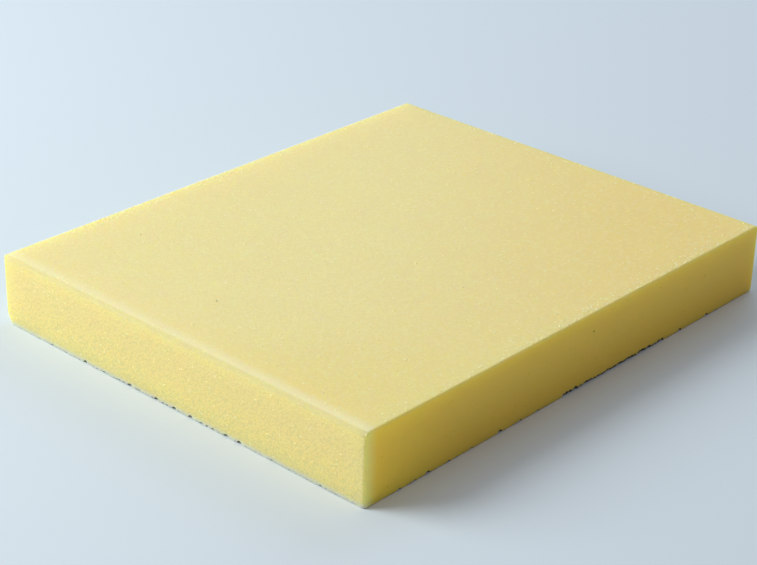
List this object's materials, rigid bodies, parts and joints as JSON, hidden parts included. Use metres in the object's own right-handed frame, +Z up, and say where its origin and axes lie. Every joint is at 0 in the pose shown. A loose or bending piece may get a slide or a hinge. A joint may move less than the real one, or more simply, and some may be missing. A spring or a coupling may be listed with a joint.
{
  "type": "foam insulation board",
  "caption": "Flat rectangular slab of rigid yellow foam with eased upper edges and crumbled lower edges, laid or bonded against a surface to insulate it.",
  "frame": {"origin": "middle of the underside, on the surface that the board lies on", "axes": "+X along the length, +Y along the width, +Z up through the thickness"},
  "size_m": [0.24, 0.197, 0.03],
  "materials": {
    "foam": "matt, fine closed cells, pale yellow"
  },
  "bodies": {
    "root": {"foam_board": "foam"}
  },
  "joints": []
}
